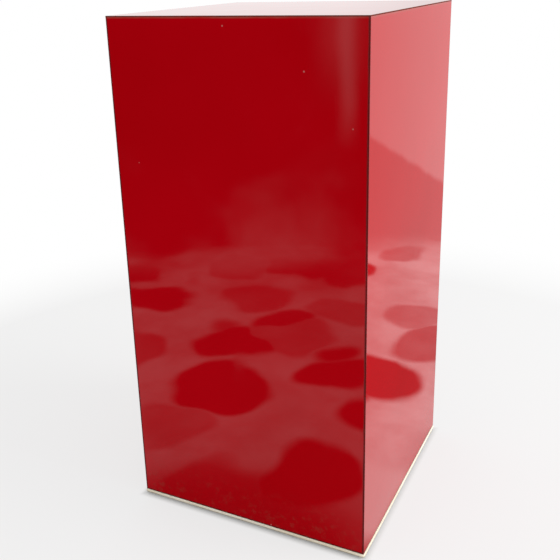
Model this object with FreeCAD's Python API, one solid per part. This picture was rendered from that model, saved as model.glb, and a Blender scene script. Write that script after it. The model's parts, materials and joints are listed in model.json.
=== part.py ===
import FreeCAD, Part
import os
from math import cos, pi, sin, sqrt

# A square display pedestal: a closed board box with a glossy laminate skin. It stands on a
# thin pale base plate and on four levelling feet. The origin is on the floor under the
# middle of the box, +Z is up and the front faces -Y. All sizes are in millimetres.

# ---- driving dimensions -------------------------------------------------------------------
SIDE = 381.0              # outside width and depth, over the laminate
BODY_HEIGHT = 762.0       # laminated body, from its lower edge to the top surface
LAMINATE = 1.5            # decorative sheet, which is about 1/16 in
LAMINATE_BEVEL = 0.5      # filed bevel that shows the sheet's dark core
BOARD = 19.0              # particle board of the walls and the top
RABBET = 9.5              # step, half a board deep, that locks the boards together

BASE_THICKNESS = 5.4      # pale plate that closes the bottom
BASE_PROUD = 1.5          # how far the plate stands out past the laminate
BASE_EDGE_ROUND = 1.6     # soft upper and lower edges of the plate
BASE_CORNER_ROUND = 4.0   # plan radius of the plate's corners
FLOOR_GAP = 3.0           # the feet hold the plate this far off the floor

BATTEN = 32.0             # square section of the corner battens
CLEAT_HEIGHT = 32.0       # strips under the top
RAIL_THICKNESS = 19.0     # cleats and base rails
RAIL_HEIGHT = 40.0        # base rails and foot blocks
FOOT_BLOCK = 70.0         # square plan of the blocks that carry the feet
GLUE_GAP = 0.5            # end clearance of a batten, cleat or rail
CHAMFER = 3.0             # eased inner corner of a batten

FOOT_TRAVEL = 10.0        # how far a foot screws out
PAD_RADIUS = 15.0
PAD_THICKNESS = 5.0
PAD_EDGE = 1.0            # chamfer round the pad
BOSS_RADIUS = 8.5         # collar that holds the stem's spigot
BOSS_TOP = 9.0
SPIGOT_RADIUS = 3.5
SPIGOT_HEAD_RADIUS = 5.0
SPIGOT_BOTTOM = 2.0
SPIGOT_HEAD_TOP = 4.0
HEX_BOTTOM = 10.5
HEX_TOP = 15.0
HEX_FLATS = 13.0          # spanner size of an M8 foot
THREAD_RADIUS = 4.0       # M8 thread, made as a plain cylinder
THREAD_SPARE = 8.9        # thread above the insert with the foot right out
THREAD_TIP = 1.0          # chamfer at the thread's end
RUNNING_CLEARANCE = 0.05  # radial, between the stem and what it turns in
STOP_CLEARANCE = 0.1      # between the hexagon and the insert's flange at rest
THREAD_ROOM = 1.0         # radial, round the thread in its block
POCKET_RADIUS = 16.5      # hole for a foot in the plate and in its block

INSERT_FLANGE_RADIUS = 11.0
INSERT_FLANGE = 1.5
INSERT_BARREL_RADIUS = 5.6
INSERT_BARREL_HEIGHT = 10.5
PRONG_COUNT = 4
PRONG_WIDTH = 3.0
PRONG_THICKNESS = 1.2
PRONG_HEIGHT = 7.0
PRONG_RADIUS = 9.0        # where the prongs stand on the flange

SCREW_RADIUS = 2.1
SCREW_HEAD_RADIUS = 4.0
SCREW_HEAD_HEIGHT = 2.6
SCREW_TIP = 6.0
RECESS_LENGTH = 4.6       # cross recess for the driver
RECESS_WIDTH = 1.0
RECESS_DEPTH = 1.6
BASE_SCREW = 25.0         # screw lengths
RAIL_SCREW = 32.0
CLEAT_SCREW = 45.0
BATTEN_SCREW = 45.0
BLOCK_SCREW = 45.0
NAIL_RADIUS = 0.8
NAIL_LENGTH = 38.0
NAIL_TIP = 3.0

CORNER_NAIL_COUNT = 6     # nails up each corner of the carcass
TOP_NAIL_COUNT = 3        # nails along each side of the top
NAIL_END_DISTANCE = 60.0  # from the last nail to the end of its joint
BATTEN_SCREW_HEIGHTS = (160.0, 390.0, 620.0)
BATTEN_SCREW_STAGGER = 24.0
SCREW_OFFSET = 60.0       # upright screws either side of a cleat's or rail's middle
WALL_SCREW_OFFSET = 78.0  # level screws either side of it
RAIL_SCREW_HEIGHT = 28.0  # level screws above a base rail's lower face
BLOCK_SCREW_INSET = 13.0  # a block's screws, from its edges
BLOCK_SCREW_HEIGHTS = (20.0, 30.0)

# ---- places worked out from them ----------------------------------------------------------
BODY_BOTTOM = FLOOR_GAP + BASE_THICKNESS
BODY_TOP = BODY_BOTTOM + BODY_HEIGHT
HALF = SIDE / 2
CORE_HALF = HALF - LAMINATE
INNER_HALF = CORE_HALF - BOARD
STEP_HALF = CORE_HALF - RABBET
CORE_TOP = BODY_TOP - LAMINATE
CEILING = CORE_TOP - BOARD
BATTEN_INNER = INNER_HALF - BATTEN
BLOCK_INNER = INNER_HALF - FOOT_BLOCK
BLOCK_TOP = BODY_BOTTOM + RAIL_HEIGHT
FOOT_PLACE = INNER_HALF - FOOT_BLOCK / 2
FLANGE_BOTTOM = HEX_TOP + STOP_CLEARANCE
FLANGE_TOP = FLANGE_BOTTOM + INSERT_FLANGE
INSERT_TOP = FLANGE_TOP + INSERT_BARREL_HEIGHT
THREAD_TOP = INSERT_TOP + FOOT_TRAVEL + THREAD_SPARE

ORIGIN = FreeCAD.Vector(0, 0, 0)
UP = FreeCAD.Vector(0, 0, 1)
FOLDER = "parts"
CORNERS = {
    "front_left": (-1, -1),
    "front_right": (1, -1),
    "back_left": (-1, 1),
    "back_right": (1, 1),
}
# The side's outward direction. A quarter turn about +Z takes the front to the right.
SIDES = {"front": 0, "right": 1, "back": 2, "left": 3}


# ---- general helpers ----------------------------------------------------------------------
def box(x0, x1, y0, y1, z0, z1):
    return Part.makeBox(x1 - x0, y1 - y0, z1 - z0, FreeCAD.Vector(x0, y0, z0))


def turned(shape, quarters):
    """The shape turned about the pedestal's axis by a number of quarter turns."""
    copy = shape.copy()
    copy.rotate(ORIGIN, UP, 90 * quarters)
    return copy


def to_corner(shape, sign_x, sign_y):
    """A shape made for the right-hand back corner, mirrored to another corner."""
    if sign_x < 0:
        shape = shape.mirror(ORIGIN, FreeCAD.Vector(1, 0, 0))
    if sign_y < 0:
        shape = shape.mirror(ORIGIN, FreeCAD.Vector(0, 1, 0))
    return shape


def cylinder(radius, z0, z1, x=0.0, y=0.0):
    return Part.makeCylinder(radius, z1 - z0, FreeCAD.Vector(x, y, z0))


def turning(profile):
    """A solid of revolution about +Z, from (radius, height) points."""
    points = [FreeCAD.Vector(r, 0, z) for r, z in profile]
    wire = Part.makePolygon(points + points[:1])
    return Part.Face(wire).revolve(ORIGIN, UP, 360)


def aimed(shape, place, direction):
    """A shape made along +Z from the origin, moved to a place and aimed along a direction."""
    copy = shape.copy()
    rotation = FreeCAD.Rotation(UP, FreeCAD.Vector(*direction))
    copy.Placement = FreeCAD.Placement(FreeCAD.Vector(*place), rotation)
    return copy


def evenly(low, high, count):
    return [low + (high - low) * i / (count - 1) for i in range(count)]


def overlapping(shape, others):
    return [o for o in others if shape.BoundBox.intersect(o.BoundBox)]


def drilled(shape, fasteners):
    """The shape with a tight hole for each fastener that passes through it."""
    tools = overlapping(shape, fasteners)
    return shape.cut(tools) if tools else shape


def edges_where(shape, test):
    """The straight edges whose two ends both pass the test."""
    return [e for e in shape.Edges if all(test(v.Point) for v in e.Vertexes)]


def near(a, b):
    return abs(a - b) < 1e-6


# ---- fasteners ----------------------------------------------------------------------------
def screw_outline(length):
    return turning([
        (0, 0),
        (SCREW_HEAD_RADIUS, 0),
        (SCREW_RADIUS, SCREW_HEAD_HEIGHT),
        (SCREW_RADIUS, length - SCREW_TIP),
        (0, length),
    ])


def screw_recess():
    bars = []
    for wide, deep in ((RECESS_LENGTH, RECESS_WIDTH), (RECESS_WIDTH, RECESS_LENGTH)):
        bars.append(box(-wide / 2, wide / 2, -deep / 2, deep / 2, 0, RECESS_DEPTH))
    return bars[0].fuse(bars[1])


def nail_outline():
    return turning([
        (0, 0),
        (NAIL_RADIUS, 0),
        (NAIL_RADIUS, NAIL_LENGTH - NAIL_TIP),
        (0, NAIL_LENGTH),
    ])


class Fasteners:
    """Screws or nails of one kind: the outlines cut their holes, the solids are the pieces."""

    def __init__(self, outline, recess=None):
        self.outline = outline
        self.piece = outline.cut(recess) if recess else outline
        self.outlines = []
        self.solids = []

    def add(self, place, direction):
        self.outlines.append(aimed(self.outline, place, direction))
        self.solids.append(aimed(self.piece, place, direction))

    def add_turned(self, place, direction, quarters):
        """Adds one made for the front, turned to another side."""
        spot = turned(Part.Vertex(*place), quarters).Point
        tip = turned(Part.Vertex(*direction), quarters).Point
        self.add(tuple(spot), tuple(tip))


def carcass_nails():
    """Nails through the rabbets, up the four corners and round the top."""
    nails = Fasteners(nail_outline())
    rabbet_middle = (INNER_HALF + CORE_HALF) / 2
    heights = evenly(BODY_BOTTOM + NAIL_END_DISTANCE, CEILING - NAIL_END_DISTANCE, CORNER_NAIL_COUNT)
    for height in heights:
        for sign_x in (-1, 1):
            nails.add((sign_x * rabbet_middle, -CORE_HALF, height), (0, 1, 0))
            nails.add((sign_x * rabbet_middle, CORE_HALF, height), (0, -1, 0))
    reach = STEP_HALF - NAIL_END_DISTANCE
    for quarters in SIDES.values():
        for along in evenly(-reach, reach, TOP_NAIL_COUNT):
            nails.add_turned((along, -CORE_HALF, CORE_TOP - BOARD / 2), (0, 1, 0), quarters)
    return nails


def batten_screws():
    """Screws from inside, through each corner batten into its two walls."""
    screws = Fasteners(screw_outline(BATTEN_SCREW), screw_recess())
    middle = BATTEN_INNER + BATTEN / 2
    for sign_x, sign_y in CORNERS.values():
        for height in BATTEN_SCREW_HEIGHTS:
            screws.add((sign_x * BATTEN_INNER, sign_y * middle, height), (sign_x, 0, 0))
            raised = height + BATTEN_SCREW_STAGGER
            screws.add((sign_x * middle, sign_y * BATTEN_INNER, raised), (0, sign_y, 0))
    return screws


def cleat_screws():
    """Screws up through each top cleat into the top board."""
    screws = Fasteners(screw_outline(CLEAT_SCREW), screw_recess())
    middle = INNER_HALF - RAIL_THICKNESS / 2
    for quarters in SIDES.values():
        for along in (-SCREW_OFFSET, SCREW_OFFSET):
            screws.add_turned((along, -middle, CEILING - CLEAT_HEIGHT), (0, 0, 1), quarters)
    return screws


def rail_screws():
    """Screws from inside, through the cleats and the base rails into the walls."""
    screws = Fasteners(screw_outline(RAIL_SCREW), screw_recess())
    inner = INNER_HALF - RAIL_THICKNESS
    heights = (BODY_BOTTOM + RAIL_SCREW_HEIGHT, CEILING - CLEAT_HEIGHT / 2)
    for quarters in SIDES.values():
        for height in heights:
            for along in (-WALL_SCREW_OFFSET, WALL_SCREW_OFFSET):
                screws.add_turned((along, -inner, height), (0, -1, 0), quarters)
    return screws


def block_screws():
    """Screws from outside, through the walls into the foot blocks, under the laminate."""
    screws = Fasteners(screw_outline(BLOCK_SCREW), screw_recess())
    low, high = [BODY_BOTTOM + height for height in BLOCK_SCREW_HEIGHTS]
    places = (BLOCK_INNER + BLOCK_SCREW_INSET, INNER_HALF - BLOCK_SCREW_INSET)
    for sign_x, sign_y in CORNERS.values():
        for place in places:
            screws.add((sign_x * place, sign_y * CORE_HALF, low), (0, -sign_y, 0))
            screws.add((sign_x * CORE_HALF, sign_y * place, high), (-sign_x, 0, 0))
    return screws


def base_plate_screws():
    """Countersunk screws up through the base plate into the rails and the foot blocks."""
    screws = Fasteners(screw_outline(BASE_SCREW), screw_recess())
    rail_middle = INNER_HALF - RAIL_THICKNESS / 2
    for quarters in SIDES.values():
        for along in (-SCREW_OFFSET, SCREW_OFFSET):
            screws.add_turned((along, -rail_middle, FLOOR_GAP), (0, 0, 1), quarters)
    block_place = INNER_HALF - BLOCK_SCREW_INSET / 2
    for sign_x, sign_y in CORNERS.values():
        screws.add((sign_x * block_place, sign_y * block_place, FLOOR_GAP), (0, 0, 1))
    return screws


# ---- laminate skin ------------------------------------------------------------------------
def top_laminate():
    sheet = box(-HALF, HALF, -HALF, HALF, CORE_TOP, BODY_TOP)
    rim = edges_where(sheet, lambda p: near(p.z, BODY_TOP))
    return sheet.makeChamfer(LAMINATE_BEVEL, rim)


def front_laminate():
    """The front sheet, which the two side sheets lap at its upright edges."""
    sheet = box(-CORE_HALF, CORE_HALF, -HALF, -CORE_HALF, BODY_BOTTOM, CORE_TOP)
    foot = edges_where(sheet, lambda p: near(p.y, -HALF) and near(p.z, BODY_BOTTOM))
    return sheet.makeChamfer(LAMINATE_BEVEL, foot)


def right_laminate():
    """A side sheet, whose upright edges show on the front and the back."""
    sheet = box(CORE_HALF, HALF, -HALF, HALF, BODY_BOTTOM, CORE_TOP)
    trimmed = [
        e for e in edges_where(sheet, lambda p: near(p.x, HALF))
        if not all(near(v.Point.z, CORE_TOP) for v in e.Vertexes)
    ]
    return sheet.makeChamfer(LAMINATE_BEVEL, trimmed)


# ---- carcass boards -----------------------------------------------------------------------
def top_rabbet():
    """The space that the top board fills, in the walls' upper inner edge."""
    return box(-STEP_HALF, STEP_HALF, -STEP_HALF, STEP_HALF, CEILING, CORE_TOP)


def front_board():
    """The front wall, with a step in each upright edge for a side wall to sit in."""
    board = box(-CORE_HALF, CORE_HALF, -CORE_HALF, -INNER_HALF, BODY_BOTTOM, CORE_TOP)
    step = box(INNER_HALF, CORE_HALF, -STEP_HALF, -INNER_HALF, BODY_BOTTOM, CORE_TOP)
    return board.cut([step, to_corner(step, -1, 1), top_rabbet()])


def right_board():
    board = box(INNER_HALF, CORE_HALF, -STEP_HALF, STEP_HALF, BODY_BOTTOM, CORE_TOP)
    return board.cut(top_rabbet())


# ---- inner frame --------------------------------------------------------------------------
def corner_batten():
    """An upright batten for the right-hand back corner, from the foot block to the top."""
    batten = box(
        BATTEN_INNER, INNER_HALF, BATTEN_INNER, INNER_HALF, BLOCK_TOP + GLUE_GAP, CEILING - GLUE_GAP
    )
    eased = edges_where(batten, lambda p: near(p.x, BATTEN_INNER) and near(p.y, BATTEN_INNER))
    return batten.makeChamfer(CHAMFER, eased)


def front_cleat():
    end = BATTEN_INNER - GLUE_GAP
    inner = INNER_HALF - RAIL_THICKNESS
    return box(-end, end, -INNER_HALF, -inner, CEILING - CLEAT_HEIGHT, CEILING)


def front_rail():
    end = BLOCK_INNER - GLUE_GAP
    inner = INNER_HALF - RAIL_THICKNESS
    return box(-end, end, -INNER_HALF, -inner, BODY_BOTTOM, BLOCK_TOP)


def foot_block():
    """The right-hand back block, with the pocket for a foot and the hole for its thread."""
    block = box(BLOCK_INNER, INNER_HALF, BLOCK_INNER, INNER_HALF, BODY_BOTTOM, BLOCK_TOP)
    pocket = cylinder(POCKET_RADIUS, BODY_BOTTOM, FLANGE_BOTTOM, FOOT_PLACE, FOOT_PLACE)
    way = cylinder(THREAD_RADIUS + THREAD_ROOM, FLANGE_BOTTOM, BLOCK_TOP, FOOT_PLACE, FOOT_PLACE)
    return block.cut([pocket, way, at_foot(insert_outline())])


# ---- base plate ---------------------------------------------------------------------------
def base_plate():
    half = HALF + BASE_PROUD
    plate = box(-half, half, -half, half, FLOOR_GAP, BODY_BOTTOM)
    uprights = [e for e in plate.Edges if near(e.BoundBox.ZLength, BASE_THICKNESS)]
    plate = plate.makeFillet(BASE_CORNER_ROUND, uprights)
    rims = edges_where(plate, lambda p: near(p.z, BODY_BOTTOM))
    rims += edges_where(plate, lambda p: near(p.z, FLOOR_GAP))
    plate = plate.makeFillet(BASE_EDGE_ROUND, rims)
    holes = [
        cylinder(POCKET_RADIUS, FLOOR_GAP, BODY_BOTTOM, sign_x * FOOT_PLACE, sign_y * FOOT_PLACE)
        for sign_x, sign_y in CORNERS.values()
    ]
    return plate.cut(holes)


# ---- levelling feet -----------------------------------------------------------------------
def at_foot(shape):
    copy = shape.copy()
    copy.translate(FreeCAD.Vector(FOOT_PLACE, FOOT_PLACE, 0))
    return copy


def insert_outline():
    """The threaded insert with its bore still filled: a flange, a barrel and four prongs."""
    flange = cylinder(INSERT_FLANGE_RADIUS, FLANGE_BOTTOM, FLANGE_TOP)
    barrel = cylinder(INSERT_BARREL_RADIUS, FLANGE_TOP, INSERT_TOP)
    prongs = []
    for i in range(PRONG_COUNT):
        prong = box(
            PRONG_RADIUS - PRONG_THICKNESS / 2, PRONG_RADIUS + PRONG_THICKNESS / 2,
            -PRONG_WIDTH / 2, PRONG_WIDTH / 2,
            FLANGE_TOP, FLANGE_TOP + PRONG_HEIGHT,
        )
        prong.rotate(ORIGIN, UP, 360 * i / PRONG_COUNT)
        prongs.append(prong)
    return flange.fuse([barrel] + prongs).removeSplitter()


def foot_insert():
    bore = cylinder(THREAD_RADIUS + RUNNING_CLEARANCE, FLANGE_BOTTOM, INSERT_TOP)
    return at_foot(insert_outline().cut(bore))


def hexagon(flats, z0, z1):
    """A hexagonal prism, its corners eased as on a turned hexagon."""
    radius = flats / sqrt(3)
    ring = [FreeCAD.Vector(radius * cos(i * pi / 3), radius * sin(i * pi / 3), z0) for i in range(7)]
    prism = Part.Face(Part.makePolygon(ring)).extrude(FreeCAD.Vector(0, 0, z1 - z0))
    ease = radius - flats / 2
    envelope = turning([
        (0, z0), (radius - ease, z0), (radius, z0 + ease),
        (radius, z1 - ease), (radius - ease, z1), (0, z1),
    ])
    return prism.common(envelope)


def foot_stem():
    """The screwed stem: a headed spigot in the pad, a hexagon and the thread."""
    turned_part = turning([
        (0, SPIGOT_BOTTOM),
        (SPIGOT_HEAD_RADIUS, SPIGOT_BOTTOM),
        (SPIGOT_HEAD_RADIUS, SPIGOT_HEAD_TOP),
        (SPIGOT_RADIUS, SPIGOT_HEAD_TOP),
        (SPIGOT_RADIUS, HEX_BOTTOM),
        (THREAD_RADIUS, HEX_BOTTOM),
        (THREAD_RADIUS, THREAD_TOP - THREAD_TIP),
        (THREAD_RADIUS - THREAD_TIP, THREAD_TOP),
        (0, THREAD_TOP),
    ])
    return at_foot(turned_part.fuse(hexagon(HEX_FLATS, HEX_BOTTOM, HEX_TOP)).removeSplitter())


def foot_pad():
    """The moulded pad: a disc with a collar, hollowed for the stem's headed spigot."""
    disc = turning([
        (0, 0),
        (PAD_RADIUS - PAD_EDGE, 0),
        (PAD_RADIUS, PAD_EDGE),
        (PAD_RADIUS, PAD_THICKNESS - PAD_EDGE),
        (PAD_RADIUS - PAD_EDGE, PAD_THICKNESS),
        (BOSS_RADIUS, PAD_THICKNESS),
        (BOSS_RADIUS, BOSS_TOP - PAD_EDGE),
        (BOSS_RADIUS - PAD_EDGE, BOSS_TOP),
        (0, BOSS_TOP),
    ])
    gap = RUNNING_CLEARANCE
    chamber = cylinder(SPIGOT_HEAD_RADIUS + gap, SPIGOT_BOTTOM - gap, SPIGOT_HEAD_TOP + gap)
    neck = cylinder(SPIGOT_RADIUS + gap, SPIGOT_HEAD_TOP, BOSS_TOP)
    return at_foot(disc.cut(chamber.fuse(neck)))


# ---- the whole pedestal -------------------------------------------------------------------
def build():
    nails = carcass_nails()
    battens = batten_screws()
    cleats = cleat_screws()
    rails = rail_screws()
    blocks = block_screws()
    plate = base_plate_screws()
    kinds = {
        "carcass_nails": nails,
        "batten_screws": battens,
        "cleat_screws": cleats,
        "rail_screws": rails,
        "block_screws": blocks,
        "base_plate_screws": plate,
    }
    holes = [outline for kind in kinds.values() for outline in kind.outlines]

    nodes = {name: Part.makeCompound(kind.solids) for name, kind in kinds.items()}
    nodes["laminate_top"] = top_laminate()
    for name, quarters in (("front", 0), ("back", 2)):
        nodes["laminate_" + name] = turned(front_laminate(), quarters)
        nodes["core_" + name] = drilled(turned(front_board(), quarters), holes)
    for name, quarters in (("right", 0), ("left", 2)):
        nodes["laminate_" + name] = turned(right_laminate(), quarters)
        nodes["core_" + name] = drilled(turned(right_board(), quarters), holes)
    nodes["core_top"] = drilled(top_rabbet(), holes)
    nodes["base_plate"] = drilled(base_plate(), holes)
    for name, quarters in SIDES.items():
        nodes["top_cleat_" + name] = drilled(turned(front_cleat(), quarters), holes)
        nodes["base_rail_" + name] = drilled(turned(front_rail(), quarters), holes)
    for name, signs in CORNERS.items():
        nodes["corner_batten_" + name] = drilled(to_corner(corner_batten(), *signs), holes)
        nodes["foot_block_" + name] = drilled(to_corner(foot_block(), *signs), holes)
        nodes["foot_insert_" + name] = to_corner(foot_insert(), *signs)
        nodes["foot_stem_" + name] = to_corner(foot_stem(), *signs)
        nodes["foot_pad_" + name] = to_corner(foot_pad(), *signs)
    return nodes


def export(nodes):
    os.makedirs(FOLDER, exist_ok=True)
    for name, shape in sorted(nodes.items()):
        if not shape.isValid():
            raise ValueError(f"{name} is not a valid solid")
        shape.exportStep(os.path.join(FOLDER, name + ".step"))
        size = shape.BoundBox
        print(
            f"{name:28s} solids {len(shape.Solids):3d}  volume {shape.Volume / 1000:9.2f} cm3"
            f"  {size.XLength:7.1f} x {size.YLength:7.1f} x {size.ZLength:7.1f}"
        )


export(build())
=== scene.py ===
"""The finish of a square display pedestal: gloss laminate on a board box, on a pale base plate.

The CAD nodes keep their shapes. This script gives each its material, and adds the camera, the
floor and the light. Metres, +Z up, the front faces -Y.
"""

import json
import math
from functools import cached_property

import bmesh
import bpy
from mathutils import Euler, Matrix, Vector


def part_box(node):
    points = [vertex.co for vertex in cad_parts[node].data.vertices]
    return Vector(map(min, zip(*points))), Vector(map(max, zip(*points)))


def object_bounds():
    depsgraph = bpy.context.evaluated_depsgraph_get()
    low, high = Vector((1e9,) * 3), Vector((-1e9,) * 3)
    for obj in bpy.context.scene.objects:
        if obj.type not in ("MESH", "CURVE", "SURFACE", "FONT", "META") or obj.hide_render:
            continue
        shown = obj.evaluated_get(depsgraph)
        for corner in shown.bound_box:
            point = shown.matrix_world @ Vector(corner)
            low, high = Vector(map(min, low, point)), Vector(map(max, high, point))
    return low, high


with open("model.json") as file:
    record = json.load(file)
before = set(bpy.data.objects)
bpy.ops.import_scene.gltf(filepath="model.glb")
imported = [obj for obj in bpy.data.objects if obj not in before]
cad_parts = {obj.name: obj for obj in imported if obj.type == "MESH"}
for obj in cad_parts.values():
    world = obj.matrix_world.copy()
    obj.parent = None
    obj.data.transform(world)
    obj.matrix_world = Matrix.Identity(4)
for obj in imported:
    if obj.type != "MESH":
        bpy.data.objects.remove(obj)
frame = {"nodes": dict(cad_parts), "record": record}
cad_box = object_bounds()
NODES = frame["nodes"]
SLOT_OF = {row["node"]: row["material_slot"] for row in frame["record"]["subparts"]}

# ---- places read from the frame -----------------------------------------------------------------
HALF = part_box("laminate_top")[1].x                  # the body's outside, from its axis
CORE_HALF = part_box("core_front")[1].x               # the boards' outside, under the laminate
SHEET_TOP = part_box("laminate_front")[1].z
BODY_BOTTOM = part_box("laminate_front")[0].z
PLATE_LOW, PLATE_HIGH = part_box("base_plate")
OBJECT_MIDDLE = Vector((0, 0, (cad_box[0].z + cad_box[1].z) / 2))

MM = 0.001
MICRON = 0.000001
X, Y, Z = range(3)


# ---- node trees ---------------------------------------------------------------------------------
MIX_A, MIX_B, MIX_RESULT = 6, 7, 2                  # where a mix node keeps its colours


class Graph:
    """The node tree of a material or a world, with short calls for the nodes they share."""

    def __init__(self, owner):
        self.owner = owner
        owner.use_nodes = True
        self.tree = owner.node_tree
        self.tree.nodes.clear()
        kind = "World" if isinstance(owner, bpy.types.World) else "Material"
        self.output = self.node("ShaderNodeOutput" + kind)

    @cached_property
    def place(self):
        """The object coordinates of the point."""
        return self.node("ShaderNodeTexCoord").outputs["Object"]

    def fill(self, socket, value):
        """Links the socket to another one, or sets it to a constant."""
        if isinstance(value, bpy.types.NodeSocket):
            self.tree.links.new(value, socket)
        else:
            socket.default_value = value

    def node(self, kind, inputs=None, **settings):
        made = self.tree.nodes.new(kind)
        for key, value in settings.items():
            setattr(made, key, value)
        for key, value in (inputs or {}).items():
            self.fill(made.inputs[key], value)
        return made

    def math(self, operation, a, b=0.0, clamp=False):
        made = self.node("ShaderNodeMath", {0: a, 1: b}, operation=operation, use_clamp=clamp)
        return made.outputs[0]

    def times(self, a, b):
        return self.math("MULTIPLY", a, b)

    def larger(self, a, b):
        return self.math("MAXIMUM", a, b)

    def apart(self, a, b):
        """How far two values are from each other."""
        return self.math("ABSOLUTE", self.math("SUBTRACT", a, b))

    def vector(self, operation, *values):
        inputs = dict(enumerate(values))
        return self.node("ShaderNodeVectorMath", inputs, operation=operation).outputs

    def axes(self):
        """The object coordinates one by one."""
        return self.node("ShaderNodeSeparateXYZ", {0: self.place}).outputs

    def stretched(self, scale):
        """Object coordinates with each axis multiplied, for grain and streaks."""
        return self.vector("MULTIPLY", self.place, scale)[0]

    def noise(self, scale, detail=2.0, roughness=0.5, place=None, distortion=0.0, output="Fac"):
        """Noise with scale features to the metre. A stretched place has the scale in it already."""
        inputs = {
            "Vector": place or self.place, "Scale": scale, "Detail": detail,
            "Roughness": roughness, "Distortion": distortion,
        }
        return self.node("ShaderNodeTexNoise", inputs).outputs[output]

    def cells(self, scale, place=None, output="Distance"):
        """How far a point is from the middle of its cell. The scale is cells to the metre."""
        inputs = {"Vector": place or self.place, "Scale": scale}
        return self.node("ShaderNodeTexVoronoi", inputs).outputs[output]

    def cell_kinds(self, scale, place=None):
        """Three random values, each the same all over a cell."""
        colour = self.cells(scale, place, "Color")
        return self.node("ShaderNodeSeparateColor", {0: colour}).outputs

    def span(self, value, low, high, to_low=0.0, to_high=1.0, smooth=True):
        """The value carried from low..high to to_low..to_high, and held there outside it."""
        inputs = {
            "Value": value, "From Min": low, "From Max": high, "To Min": to_low, "To Max": to_high,
        }
        kind = "SMOOTHSTEP" if smooth else "LINEAR"
        return self.node("ShaderNodeMapRange", inputs, interpolation_type=kind).outputs["Result"]

    def blend(self, factor, a, b):
        inputs = {"Factor": factor, MIX_A: a, MIX_B: b}
        return self.node("ShaderNodeMix", inputs, data_type="RGBA").outputs[MIX_RESULT]

    def bump(self, height, distance, under=None):
        """A relief of a real height in metres, laid over another one."""
        inputs = {"Height": height, "Distance": distance, "Strength": 1.0}
        if under is not None:
            inputs["Normal"] = under
        return self.node("ShaderNodeBump", inputs).outputs["Normal"]

    def finish(self, **inputs):
        """The surface's shader. The words are the sockets' names, with _ for a space."""
        sockets = {key.replace("_", " "): value for key, value in inputs.items()}
        return self.show(self.node("ShaderNodeBsdfPrincipled", sockets))

    def layered(self, factor, under, over):
        """Two shaders mixed, as what the surface shows."""
        inputs = {0: factor, 1: under.outputs[0], 2: over.outputs[0]}
        return self.show(self.node("ShaderNodeMixShader", inputs))

    def show(self, shader):
        self.tree.links.new(shader.outputs[0], self.output.inputs["Surface"])
        return self.owner


def new_material(name):
    return Graph(bpy.data.materials.new(name))


def srgb(red, green, blue):
    """A colour given as it looks on screen, 0 to 255, as Blender's linear values."""
    def linear(value):
        value /= 255
        return value / 12.92 if value <= 0.04045 else ((value + 0.055) / 1.055) ** 2.4
    return (linear(red), linear(green), linear(blue), 1.0)


def edge_nearness(g, edges, reach):
    """1 on the named edges, down to 0 at reach from them. Edges are (axis, place) pairs."""
    place = g.axes()
    nearest = None
    for axis, at in edges:
        gap = g.apart(place[axis], at)
        nearest = gap if nearest is None else g.math("MINIMUM", nearest, gap)
    return g.span(nearest, 0.0, reach, 1.0, 0.0, smooth=False)


def off_axis(g):
    """How far a point is from the upright axis, measured square to the sides."""
    x, y, _ = g.axes()
    return g.larger(g.math("ABSOLUTE", x), g.math("ABSOLUTE", y))


# ---- laminate -----------------------------------------------------------------------------------
LAMINATE_RED = srgb(186, 0, 15)
LAMINATE_RED_DEEP = srgb(179, 0, 12)
CORE_RED = srgb(124, 14, 13)                        # the upright sheets' edges
CORE_RED_DARK = srgb(74, 3, 5)
CORE_BROWN = srgb(128, 58, 44)                      # the top sheet's edges, and nicks
CORE_BROWN_DARK = srgb(66, 22, 18)
# paler filed marks on the core edges, partly a painted highlight
CORE_FILED_HIGHLIGHT = srgb(140, 62, 46)
# dark seams and foot: dirt, and painted shade where the sheets meet the base plate and each other
SEAM_DIRT_AND_SHADE = srgb(52, 8, 9)
SCUFFED = srgb(150, 62, 52)
RUBBED = srgb(150, 92, 78)
DUST = srgb(205, 150, 140)

NICK_REACH = 1.2 * MM                               # from an edge
SEAM_REACH = 2.0 * MM
GRIME_AND_SHADE_LOW, GRIME_AND_SHADE_HIGH = 0.4 * MM, 2.6 * MM          # dirt and painted shade, above the base plate
GRIME_AND_SHADE_RAGGED = 1.6 * MM
SCUFF_HEIGHT = 85 * MM                              # scuffs from shoes, above the base plate
RUB_DEPTH = 2.8 * MM                                # under the top edge
SPECK_CELLS = 62.0                                  # to the metre, most of them without a speck
SPECK_SHIFT = (0.073, 0.0, -0.045)                  # puts a speck high on the right of the front


def nicks(g, edges):
    """Where an edge has been knocked."""
    close = edge_nearness(g, edges, NICK_REACH)
    chips = g.times(close, g.noise(420.0, detail=3.0, roughness=0.6))
    return g.span(chips, 0.50, 0.56)


def seam_dirt_and_shade(g, edges, above):
    """Dirt and old glue along the sheet's seams, most of all where it meets the base plate; the
    dark there is partly painted shade.
    """
    ragged = g.times(g.noise(140.0, detail=4.0), GRIME_AND_SHADE_RAGGED)
    grime_and_shade = g.span(g.math("SUBTRACT", above, ragged), GRIME_AND_SHADE_LOW, GRIME_AND_SHADE_HIGH, 0.80, 0.0)
    uneven = g.span(g.noise(30.0), 0.3, 0.7, 0.5, 1.0)
    return g.larger(grime_and_shade, g.times(edge_nearness(g, edges, SEAM_REACH), uneven))


def shoe_scuffs(g, above):
    """Marks near the foot, fewer higher up."""
    marks = g.span(g.noise(85.0, detail=5.0, roughness=0.7), 0.50, 0.68)
    return g.times(g.span(above, 0.0, SCUFF_HEIGHT, 0.32, 0.0), marks)


def hand_rub(g):
    """Wear along the upper edge of an upright sheet."""
    strip = g.span(g.axes()[Z], SHEET_TOP - RUB_DEPTH, SHEET_TOP, smooth=False)
    return g.times(strip, g.span(g.noise(45.0, detail=4.0), 0.3, 0.7, 0.25, 0.75))


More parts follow.
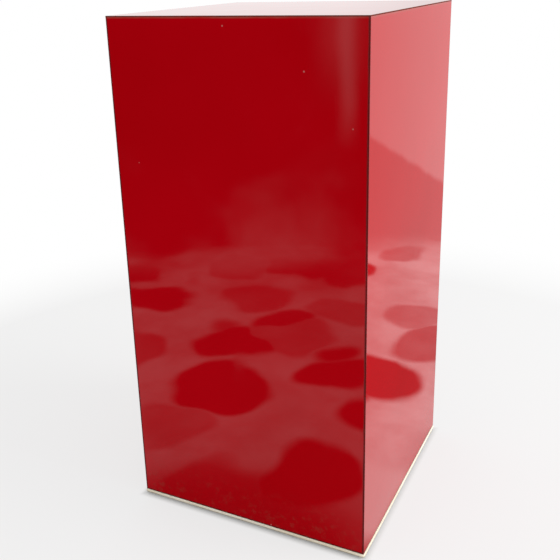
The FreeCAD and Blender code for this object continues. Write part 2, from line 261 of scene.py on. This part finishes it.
def dust_specks(g):
    """Sparse specks, each in the middle of its own cell."""
    shifted = g.vector("SUBTRACT", g.place, SPECK_SHIFT)[0]
    middle = g.span(g.cells(SPECK_CELLS, shifted), 0.040, 0.105, 1.0, 0.0)
    return g.times(middle, g.span(g.cell_kinds(SPECK_CELLS, shifted)[0], 0.955, 0.96))


def smears(g):
    """Wiping marks and the haze that hands leave."""
    haze = g.noise(7.0, detail=5.0, roughness=0.65, distortion=0.6)
    wiped = g.noise(1.0, detail=4.0, roughness=0.7, place=g.stretched((34.0, 34.0, 5.0)))
    return g.times(g.span(haze, 0.45, 0.75), g.span(wiped, 0.40, 0.70))


def gloss_relief(g, nicked, speck):
    """The sheet follows its board: a slow swell, a fine orange peel and hair scratches."""
    relief = g.bump(g.noise(9.0, detail=1.0), 300 * MICRON)
    relief = g.bump(g.noise(30.0, detail=1.5), 30 * MICRON, under=relief)
    relief = g.bump(g.noise(420.0, detail=1.0), 0.9 * MICRON, under=relief)
    hairs = g.stretched((260.0, 260.0, 9.0))
    lines = g.noise(1.0, detail=2.0, roughness=0.4, place=hairs, distortion=0.3)
    relief = g.bump(g.span(lines, 0.70, 0.73, 1.0, 0.0), 2.5 * MICRON, under=relief)
    relief = g.bump(speck, 40 * MICRON, under=relief)
    return g.bump(nicked, 200 * MICRON, under=relief)


def laminate_face(name, edges, upright):
    """Melamine's wet-looking gloss over a red print: flat, a little wavy, handled and dusted."""
    g = new_material(name)
    above = g.math("SUBTRACT", g.axes()[Z], BODY_BOTTOM)
    nicked = nicks(g, edges)
    grime_and_shade = seam_dirt_and_shade(g, edges, above)
    kicked = shoe_scuffs(g, above)
    speck = dust_specks(g)

    cloud = g.noise(3.0, detail=3.0)
    red = g.blend(g.span(cloud, 0.35, 0.65), LAMINATE_RED, LAMINATE_RED_DEEP)
    red = g.blend(nicked, red, CORE_BROWN)
    # painted shade with dirt: dark along the seams and the foot above the base plate
    red = g.blend(grime_and_shade, red, SEAM_DIRT_AND_SHADE)
    if upright:
        red = g.blend(kicked, red, SCUFFED)
        red = g.blend(hand_rub(g), red, RUBBED)
    red = g.blend(g.times(speck, 0.45), red, DUST)

    worn = g.larger(nicked, g.larger(grime_and_shade, g.times(kicked, 0.5)))
    roughness = g.span(smears(g), 0.0, 1.0, 0.035, 0.115)
    roughness = g.math("ADD", roughness, g.times(speck, 0.4))
    roughness = g.math("ADD", roughness, g.times(worn, 0.45), clamp=True)
    relief = gloss_relief(g, nicked, speck)
    return g.finish(Base_Color=red, Roughness=roughness, IOR=1.50, Normal=relief)


def laminate_edge(name, dark, pale):
    """A sheet's sawn and filed edge: the paper core in fine layers, with paler filed patches that
    are partly a painted highlight.
    """
    g = new_material(name)
    layers = g.noise(2600.0, detail=3.0)
    filed = g.noise(60.0, detail=4.0, roughness=0.7)
    tone = g.blend(g.span(layers, 0.35, 0.65), dark, pale)
    # paler filed patches, partly a painted highlight on the edge
    tone = g.blend(g.span(filed, 0.58, 0.72, 0.0, 0.3), tone, CORE_FILED_HIGHLIGHT)
    roughness = g.span(filed, 0.3, 0.7, 0.70, 0.88)
    relief = g.bump(layers, 30 * MICRON)
    return g.finish(
        Base_Color=tone, Roughness=roughness, IOR=1.45, Specular_IOR_Level=0.15, Normal=relief
    )


# ---- the other materials ------------------------------------------------------------------------
def base_plate_sheet():
    """Cream plastic sheet, yellowed, with scuffs, and floor dirt and painted shade along its lower
    edge.
    """
    g = new_material("base_plate_sheet")
    cloud = g.noise(14.0, detail=4.0)
    low = g.span(g.axes()[Z], PLATE_LOW.z + 1.0 * MM, PLATE_LOW.z + 3.2 * MM, 1.0, 0.0)
    outer = g.span(off_axis(g), PLATE_HIGH.x - 12 * MM, PLATE_HIGH.x - 1 * MM, 0.22, 1.0)
    uneven = g.span(g.noise(55.0, detail=5.0, roughness=0.65), 0.35, 0.65, 0.65, 1.0)
    dirt_and_shade = g.times(g.times(low, outer), uneven)
    streaks = g.noise(1.0, detail=3.0, place=g.stretched((40.0, 40.0, 900.0)))
    scuff = g.span(streaks, 0.60, 0.68)
    tone = g.blend(g.span(cloud, 0.35, 0.70), srgb(250, 243, 225), srgb(244, 233, 208))
    # painted shade with floor dirt: the lower edge, which faces the floor, is darkened
    tone = g.blend(g.times(dirt_and_shade, 0.80), tone, srgb(112, 104, 84))
    tone = g.blend(g.times(scuff, 0.25), tone, srgb(168, 154, 132))
    roughness = g.span(g.larger(dirt_and_shade, scuff), 0.0, 1.0, 0.36, 0.72)
    relief = g.bump(g.noise(900.0, detail=2.0), 12 * MICRON)
    relief = g.bump(scuff, 30 * MICRON, under=relief)
    return g.finish(Base_Color=tone, Roughness=roughness, IOR=1.49, Normal=relief)


def particle_board():
    """Raw board: pressed flakes of mixed wood, with dark bark between them."""
    g = new_material("particle_board_raw")
    flakes = g.cell_kinds(1.0, g.stretched((420.0, 420.0, 240.0)))
    bark = g.span(g.noise(500.0, detail=3.0), 0.55, 0.70, 0.0, 0.6)
    tone = g.blend(g.span(flakes[0], 0.1, 0.9), srgb(176, 140, 96), srgb(218, 186, 140))
    tone = g.blend(bark, tone, srgb(120, 88, 54))
    relief = g.bump(flakes[1], 150 * MICRON)
    return g.finish(Base_Color=tone, Roughness=0.82, IOR=1.45, Normal=relief)


def softwood():
    """Sawn pine with wavering rings and an open grain."""
    g = new_material("softwood_sawn")
    inputs = {
        "Vector": g.stretched((1.0, 1.0, 0.12)), "Scale": 38.0,
        "Distortion": 3.5, "Detail": 3.0, "Detail Scale": 1.2,
    }
    wave = g.node("ShaderNodeTexWave", inputs, wave_type="RINGS", rings_direction="Z")
    fibre = g.noise(1.0, detail=4.0, place=g.stretched((900.0, 900.0, 40.0)))
    tone = g.blend(g.span(wave.outputs["Fac"], 0.2, 0.9), srgb(226, 192, 140), srgb(188, 138, 84))
    tone = g.blend(g.span(fibre, 0.4, 0.7, 0.0, 0.35), tone, srgb(150, 104, 60))
    relief = g.bump(fibre, 100 * MICRON)
    return g.finish(Base_Color=tone, Roughness=0.70, IOR=1.45, Normal=relief)


def zinc_steel(name, dull, bright, smoothest):
    """Zinc plate with its cloudy spangle and turning marks."""
    g = new_material(name)
    cloud = g.noise(160.0, detail=4.0, roughness=0.6)
    tone = g.blend(g.span(cloud, 0.35, 0.65), dull, bright)
    roughness = g.span(cloud, 0.3, 0.7, smoothest, smoothest + 0.18)
    turned = g.noise(1.0, detail=2.0, place=g.stretched((60.0, 60.0, 5200.0)))
    relief = g.bump(turned, 12 * MICRON)
    return g.finish(Base_Color=tone, Metallic=1.0, Roughness=roughness, Normal=relief)


def nylon():
    """Moulded black nylon with a fine spark texture and pale scuffs."""
    g = new_material("foot_nylon")
    scuff = g.span(g.noise(130.0, detail=5.0, roughness=0.7), 0.58, 0.72)
    tone = g.blend(g.times(scuff, 0.5), srgb(30, 30, 31), srgb(92, 90, 86))
    roughness = g.span(scuff, 0.0, 1.0, 0.48, 0.74)
    relief = g.bump(g.noise(2600.0, detail=2.0), 40 * MICRON)
    return g.finish(Base_Color=tone, Roughness=roughness, IOR=1.53, Normal=relief)


# ---- the object's finishes ----------------------------------------------------------------------
SIDE_EDGES = [(Y, -HALF), (Y, HALF), (Z, BODY_BOTTOM)]
FRONT_EDGES = [(X, -CORE_HALF), (X, CORE_HALF), (Z, BODY_BOTTOM)]
TOP_EDGES = [(X, -HALF), (X, HALF), (Y, -HALF), (Y, HALF)]
SHEETS = {
    "laminate_top": (Vector((0, 0, 1)), TOP_EDGES),
    "laminate_front": (Vector((0, -1, 0)), FRONT_EDGES),
    "laminate_back": (Vector((0, 1, 0)), FRONT_EDGES),
    "laminate_left": (Vector((-1, 0, 0)), SIDE_EDGES),
    "laminate_right": (Vector((1, 0, 0)), SIDE_EDGES),
}
FLAT_ENOUGH = 0.99          # a polygon that faces outward this squarely is printed


def set_materials(piece, finishes):
    piece.data.materials.clear()
    for finish in finishes:
        piece.data.materials.append(finish)


def dress_laminate():
    """The printed face of each sheet is red, and its edges, bevels and back are dark core."""
    side_core = laminate_edge("laminate_core", CORE_RED_DARK, CORE_RED)
    top_core = laminate_edge("laminate_top_core", CORE_BROWN_DARK, CORE_BROWN)
    for name, (outward, edges) in SHEETS.items():
        sheet = NODES[name]
        upright = outward.z == 0
        gloss = laminate_face(name + "_gloss", edges, upright)
        set_materials(sheet, [gloss, side_core if upright else top_core])
        for polygon in sheet.data.polygons:
            polygon.material_index = 0 if polygon.normal.dot(outward) > FLAT_ENOUGH else 1


def dress_the_rest():
    """One material for each slot of the record that isn't laminate."""
    finishes = {
        "particle_board": particle_board(),
        "softwood": softwood(),
        "base_plate": base_plate_sheet(),
        "zinc_steel": zinc_steel("zinc_plate", srgb(176, 178, 180), srgb(206, 208, 210), 0.30),
        "foot_steel": zinc_steel("foot_zinc", srgb(182, 182, 178), srgb(212, 212, 206), 0.24),
        "foot_pad": nylon(),
    }
    for name, piece in NODES.items():
        if name not in SHEETS:
            set_materials(piece, [finishes[SLOT_OF[name]]])


# ---- camera -------------------------------------------------------------------------------------
CAMERA_PLACE = (0.5058, -1.0985, 0.8243)            # fitted to the object's corners in the photo
CAMERA_TURN = (71.588, 1.688, 26.636)               # degrees
CAMERA_SHIFT = (0.0331, -0.0825)                    # its axis isn't at the photo's middle
CAMERA_LENS, CAMERA_SENSOR = 51.05, 36.0            # millimetres


def make_camera():
    camera = bpy.data.cameras.new("camera")
    camera.lens = CAMERA_LENS
    camera.sensor_width = CAMERA_SENSOR
    camera.shift_x, camera.shift_y = CAMERA_SHIFT
    camera.clip_start = 0.01
    holder = bpy.data.objects.new("camera", camera)
    holder.location = CAMERA_PLACE
    holder.rotation_euler = Euler([math.radians(a) for a in CAMERA_TURN], "XYZ")
    bpy.context.scene.collection.objects.link(holder)
    bpy.context.scene.camera = holder


# ---- floor and light ----------------------------------------------------------------------------
FLOOR_SIZE = 60
FLOOR_TONES = ((0.62, 0.62, 0.62, 1), (0.63, 0.63, 0.627, 1))
WHITE_AT_BASE, WHITE_CLEAR = 0.22, 0.70             # the share of the floor's look that is white; the smaller share at the base is painted shade
WHITE_FROM, ALL_WHITE = 0.25, 1.3                   # metres from the middle
WORLD_LIGHT = 0.83          # on the object; the camera and reflections see 1, which is white
KEY_PLACE, KEY_SIZE, KEY_POWER = (2.6, 0.5, 1.7), 1.7, 64.0


def seen(g):
    """1 for a ray from the camera or off a glossy or clear surface, and 0 for diffuse light."""
    path = g.node("ShaderNodeLightPath").outputs
    kinds = g.math("ADD", path["Is Camera Ray"], path["Is Glossy Ray"])
    return g.math("ADD", kinds, path["Is Transmission Ray"], clamp=True)


def make_floor():
    """A plain pale floor that keeps the object's shadow, is darker in a band at the base as painted
    shade, and turns white away from it.
    """
    bpy.ops.mesh.primitive_plane_add(size=FLOOR_SIZE)
    floor = bpy.context.object
    floor.name = "floor"
    g = new_material("floor_pale")
    tone = g.blend(g.span(g.noise(1.5, detail=2.0), 0.3, 0.7), *FLOOR_TONES)
    paint = g.node("ShaderNodeBsdfDiffuse", {"Color": tone})
    white = g.node("ShaderNodeEmission", {"Color": (1, 1, 1, 1), "Strength": 1.0})
    edge = PLATE_HIGH.x
    # painted shade: the floor is left darker in a narrow band along the base plate
    clear_of_base = g.span(
        off_axis(g), edge - 2 * MM, edge + 10 * MM, WHITE_AT_BASE, WHITE_CLEAR
    )
    far = g.span(g.vector("LENGTH", g.place)["Value"], WHITE_FROM, ALL_WHITE)
    whitened = g.times(g.larger(clear_of_base, far), seen(g))
    floor.data.materials.append(g.layered(whitened, paint, white))


def make_world():
    world = bpy.data.worlds.new("studio")
    bpy.context.scene.world = world
    g = Graph(world)
    strength = g.span(seen(g), 0.0, 1.0, WORLD_LIGHT, 1.0, smooth=False)
    g.show(g.node("ShaderNodeBackground", {"Color": (1, 1, 1, 1), "Strength": strength}))


def make_lamp():
    """A large soft lamp high on the right, which the gloss doesn't mirror."""
    light = bpy.data.lights.new("key", "AREA")
    light.shape = "SQUARE"
    light.size = KEY_SIZE
    light.energy = KEY_POWER
    lamp = bpy.data.objects.new("key", light)
    lamp.location = KEY_PLACE
    lamp.visible_glossy = False
    lamp.rotation_euler = (lamp.location - OBJECT_MIDDLE).to_track_quat("Z", "Y").to_euler()
    bpy.context.scene.collection.objects.link(lamp)


# ---- studio cloths, which only reflections see --------------------------------------------------
# The cloths stand in for dark surroundings; what they put in the gloss is painted reflection: dark
# patches, and pale upright streaks where the slits open.
# A cloth's turns are radians from its middle, and its cover is 0 where clear and 1 where closed.
FLAG_RADIUS = 1.5
FLAG_HOLE = 0.12            # the inner edge of the part on the floor, under the object
FLAG_LIFT = 0.001           # off the floor
FLAG_STEPS = 48
SOFT_END = 0.30             # radians, where a cloth thins out at both ends
CLOTH_BLACK = (0.004, 0.004, 0.004, 1)

FRONT_MIDDLE = 264          # degrees from +X, so it hangs in front
SLITS = (                   # degrees from +X, half width, low end, full height, how far open
    (257.65, 0.029, 0.29, 0.46, 0.42),
    (257.10, 0.075, 0.40, 0.66, 0.26),
)

CLOSED_NEAR = (0.24, 0.40)  # from the axis, where the front cloth opens a little
CLOSED_FAR = (1.05, 1.68)   # from the axis along the floor and up, where it closes again

NET_MIDDLE = 40             # degrees from +X
NET_SINGLE, NET_DOUBLED = 0.24, 0.58
NET_START = (1.15, 1.42)    # from the axis, where the floor's cloth turns into the net
NET_TOP = (0.60, 1.08)      # heights between which the net thins out
HEM_TURN = 0.68             # radians from the net's middle, where the sloping hem meets the floor
HEM_TOP = 0.34
HEM_SOFT = 0.012

PATCH_SCALE = 5.0           # patches to the metre
PATCH_WANDER = (0.16, 0.16, 0.16)
PATCH_END = (1.22, 1.44)    # from the axis, where the patches thin out
FRONT_SHIFT = (2.32, 2.11, 0.59)                    # where the patches of each cloth fall
RIGHT_SHIFT = (5.21, 1.88, 0.96)


def flag_place(g):
    """A point's distance from the axis, its turn from the cloth's middle, and its height."""
    x, y, z = g.axes()
    from_axis = g.math("SQRT", g.math("ADD", g.times(x, x), g.times(y, y)))
    return from_axis, g.math("ARCTAN2", y, x), z


# The rounds show in the gloss as dark patches of painted reflection.
def patches(g, from_axis, shift, thin, thick, where):
    """A cloudy cloth on the floor. Irregular rounds in it are thicker, as far as where is 1."""
    wander = g.noise(5.0, detail=1.5, output="Color")
    place = g.vector("MULTIPLY_ADD", wander, PATCH_WANDER, g.place)[0]
    place = g.vector("ADD", place, shift)[0]
    rounds = g.span(g.cells(PATCH_SCALE, place), 0.44, 0.56, 1.0, 0.0)
    strength = g.span(g.cell_kinds(PATCH_SCALE, place)[0], 0.0, 0.6, 0.55, 1.0)
    rounds = g.times(rounds, strength)
    rounds = g.times(rounds, g.span(from_axis, *PATCH_END, 1.0, 0.0))
    rounds = g.times(rounds, where)
    cloud = g.noise(7.0, detail=5.0, roughness=0.6)
    ground = g.span(cloud, 0.3, 0.7, thin - 0.10, thin + 0.20)
    return g.span(rounds, 0.0, 1.0, ground, thick, smooth=False)


def dark_cloth(g):
    """Closes the front, thinner on the floor, with upright slits that let light through."""
    from_axis, turn, z = flag_place(g)
    thin = patches(g, from_axis, FRONT_SHIFT, 0.34, 0.99, g.span(turn, -0.74, -0.56))
    near = g.span(from_axis, *CLOSED_NEAR, 0.97, thin)
    ragged = g.span(g.noise(2.6, detail=3.0), 0.3, 0.7, -0.22, 0.22)
    reach = g.math("ADD", g.math("ADD", from_axis, z), ragged)
    cover = g.larger(near, g.span(reach, *CLOSED_FAR, thin, 1.0))
    for at, half_width, low, full, most in SLITS:
        across = g.span(g.apart(turn, math.radians(at - FRONT_MIDDLE)), 0.0, half_width, 1.0, 0.0)
        opening = g.times(across, g.span(z, low, full, 0.0, most))
        cover = g.math("SUBTRACT", cover, opening)
    return cover


def scrim(g):
    """A thin net on the right, doubled at its sloping foot, and patchy on the floor."""
    from_axis, turn, z = flag_place(g)
    slope = g.math("SUBTRACT", HEM_TURN, turn, clamp=True)
    over_hem = g.math("SUBTRACT", z, g.math("MINIMUM", slope, HEM_TOP))
    doubled = g.span(turn, 0.05, 0.34, NET_SINGLE, NET_DOUBLED)
    single = g.span(z, *NET_TOP, NET_SINGLE, 0.0)
    net = g.span(over_hem, -HEM_SOFT, HEM_SOFT, doubled, single)
    floor_part = patches(g, from_axis, RIGHT_SHIFT, 0.10, 0.93, g.span(turn, 0.60, 0.80, 1.0, 0.0))
    cover = g.span(from_axis, *NET_START, floor_part, net)
    return g.times(cover, g.span(turn, -0.66, -0.34))


def flag_mesh(name, half_angle, height):
    """Part of a ring on the floor, half_angle to each side of +X, with a wall at its outside."""
    profile = [(FLAG_HOLE, FLAG_LIFT), (FLAG_RADIUS, FLAG_LIFT), (FLAG_RADIUS, height)]
    shape = bmesh.new()
    columns = []
    for i in range(FLAG_STEPS + 1):
        angle = math.radians(half_angle * (2 * i / FLAG_STEPS - 1))
        x, y = math.cos(angle), math.sin(angle)
        columns.append([shape.verts.new((r * x, r * y, z)) for r, z in profile])
    for left, right in zip(columns, columns[1:]):
        for low in (0, 1):
            shape.faces.new((left[low], right[low], right[low + 1], left[low + 1]))
    mesh = bpy.data.meshes.new(name)
    shape.to_mesh(mesh)
    shape.free()
    return mesh


def make_flag(name, middle, half_angle, height, cloth):
    """A cloth round the object and on the floor. The angles are degrees."""
    mesh = flag_mesh(name, half_angle, height)
    flag = bpy.data.objects.new(name, mesh)
    flag.rotation_euler.z = math.radians(middle)
    bpy.context.scene.collection.objects.link(flag)
    g = new_material(name + "_cloth")
    end = math.radians(half_angle)
    turn = g.math("ABSOLUTE", flag_place(g)[1])
    cover = g.times(cloth(g), g.span(turn, end - SOFT_END, end, 1.0, 0.0))
    clear = g.node("ShaderNodeBsdfTransparent")
    dark = g.node("ShaderNodeBsdfDiffuse", {"Color": CLOTH_BLACK})
    mesh.materials.append(g.layered(cover, clear, dark))
    flag.visible_camera = False
    flag.visible_diffuse = False
    flag.visible_shadow = False
    flag.visible_transmission = False


# ---- the scene ----------------------------------------------------------------------------------
make_camera()
dress_laminate()
dress_the_rest()
make_floor()
make_world()
make_lamp()
make_flag("flag_front", FRONT_MIDDLE, 66, 1.4, dark_cloth)
make_flag("scrim_right", NET_MIDDLE, 70, 1.1, scrim)
bpy.context.scene.view_settings.view_transform = "Standard"
